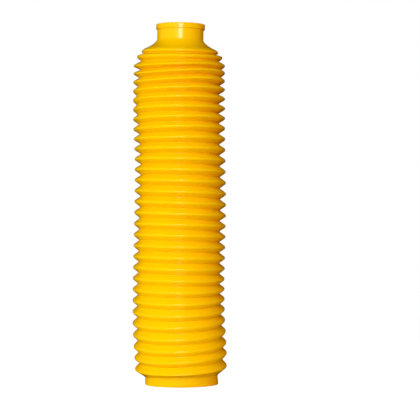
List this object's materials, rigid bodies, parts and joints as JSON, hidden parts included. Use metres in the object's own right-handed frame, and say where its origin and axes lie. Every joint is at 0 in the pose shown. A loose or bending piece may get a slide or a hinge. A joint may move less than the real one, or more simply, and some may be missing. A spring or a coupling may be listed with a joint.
{
  "type": "fork gaiter",
  "caption": "Yellow rubber fork gaiter: a long one-piece bellows with a plain lower collar, a stepped shoulder and a short rimmed neck, open at both ends.",
  "frame": {"origin": "centre of the collar's lower face, where the gaiter stands", "axes": "+Z along the fork leg, from the lower collar up to the neck; the gaiter is round about Z"},
  "size_m": [0.0836, 0.0836, 0.3271],
  "materials": {
    "yellow_rubber": "semi-gloss moulded rubber"
  },
  "bodies": {
    "root": {"gaiter": "yellow_rubber"}
  },
  "joints": []
}
